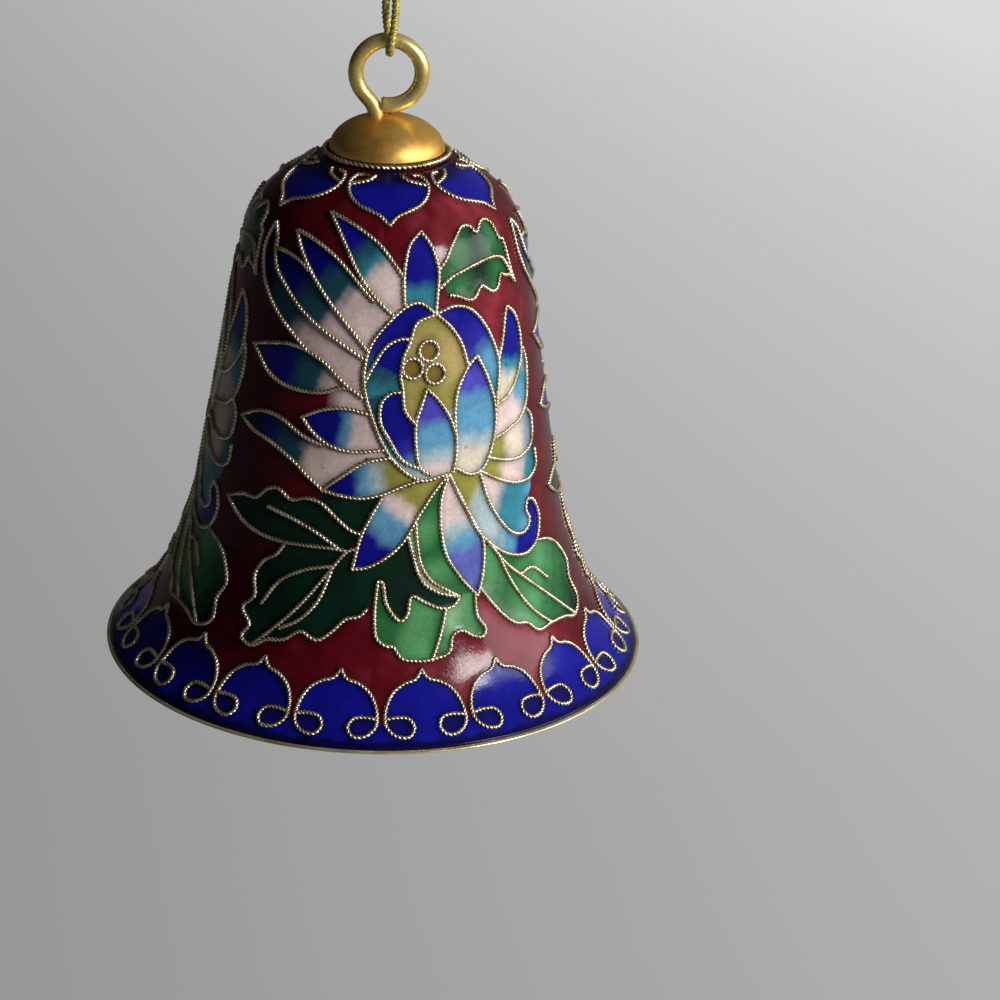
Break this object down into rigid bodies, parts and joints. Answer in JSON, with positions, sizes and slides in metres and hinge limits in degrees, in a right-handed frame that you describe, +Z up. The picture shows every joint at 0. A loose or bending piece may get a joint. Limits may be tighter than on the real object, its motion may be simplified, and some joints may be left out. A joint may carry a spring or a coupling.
{
  "type": "cloisonne bell ornament",
  "caption": "Small enamelled copper bell with a wire-drawn lotus pattern on dark red, a gilt cap and hanging ring on a gold thread, and a clapper chained inside.",
  "frame": {"origin": "the point under the thread's knot where a hook holds the thread, on the bell's axis", "axes": "+Z up along the bell's axis, -Y towards the lotus that faces the viewer, +X to the viewer's right"},
  "size_m": [0.052, 0.052, 0.0847],
  "materials": {
    "copper": "satin",
    "enamel": "gloss",
    "lining": "gloss",
    "gilt": "polished",
    "wire": "polished",
    "brass": "satin",
    "thread": "metallic twisted thread"
  },
  "bodies": {
    "cord": {"hanging_cord": "thread", "cord_knot": "thread"},
    "bell": {"bell_shell": "copper", "bottom_leaf_wires_1": "wire", "bottom_leaf_wires_2": "wire", "bottom_leaf_wires_3": "wire", "cap": "gilt", "counter_enamel": "lining", "crown_lappet_wire_1": "wire", "crown_lappet_wire_2": "wire", "crown_lappet_wire_3": "wire", "crown_lappet_wire_4": "wire", "crown_lappet_wire_5": "wire", "crown_lappet_wire_6": "wire", "crown_ring_wire": "wire", "ground_enamel": "enamel", "hanger_eye": "gilt", "left_leaves_wires_1": "wire", "left_leaves_wires_2": "wire", "left_leaves_wires_3": "wire", "lotus_wires_1": "wire", "lotus_wires_2": "wire", "lotus_wires_3": "wire", "right_leaf_wires_1": "wire", "right_leaf_wires_2": "wire", "right_leaf_wires_3": "wire", "rim_lappet_wire_01": "wire", "rim_lappet_wire_02": "wire", "rim_lappet_wire_03": "wire", "rim_lappet_wire_04": "wire", "rim_lappet_wire_05": "wire", "rim_lappet_wire_06": "wire", "rim_lappet_wire_07": "wire", "rim_lappet_wire_08": "wire", "rim_lappet_wire_09": "wire", "rim_lappet_wire_10": "wire", "rim_lappet_wire_11": "wire", "rim_lappet_wire_12": "wire", "rim_lappet_wire_13": "wire", "rim_lappet_wire_14": "wire", "rim_lappet_wire_15": "wire", "rim_lappet_wire_16": "wire", "rim_lappet_wire_17": "wire", "rim_lappet_wire_18": "wire", "rim_ring": "gilt", "stem_washer": "brass", "upper_leaf_wires_1": "wire", "upper_leaf_wires_2": "wire", "upper_leaf_wires_3": "wire"},
    "clapper_link": {"clapper_link": "brass"},
    "clapper": {"clapper_pin": "brass", "clapper_ball": "brass"}
  },
  "joints": [
    {"name": "bell_swing", "type": "hinge", "parent": "cord", "child": "bell", "pos_m": [0, 0, -0.0212], "axis": [1, 0, 0], "range_deg": [-80, 80]},
    {"name": "clapper_link_swing", "type": "hinge", "parent": "bell", "child": "clapper_link", "pos_m": [0, 0, -0.0389], "axis": [1, 0, 0], "range_deg": [-15, 15]},
    {"name": "clapper_swing", "type": "hinge", "parent": "clapper_link", "child": "clapper", "pos_m": [0, 0, -0.0416], "axis": [0, 1, 0], "range_deg": [-15, 15]}
  ]
}
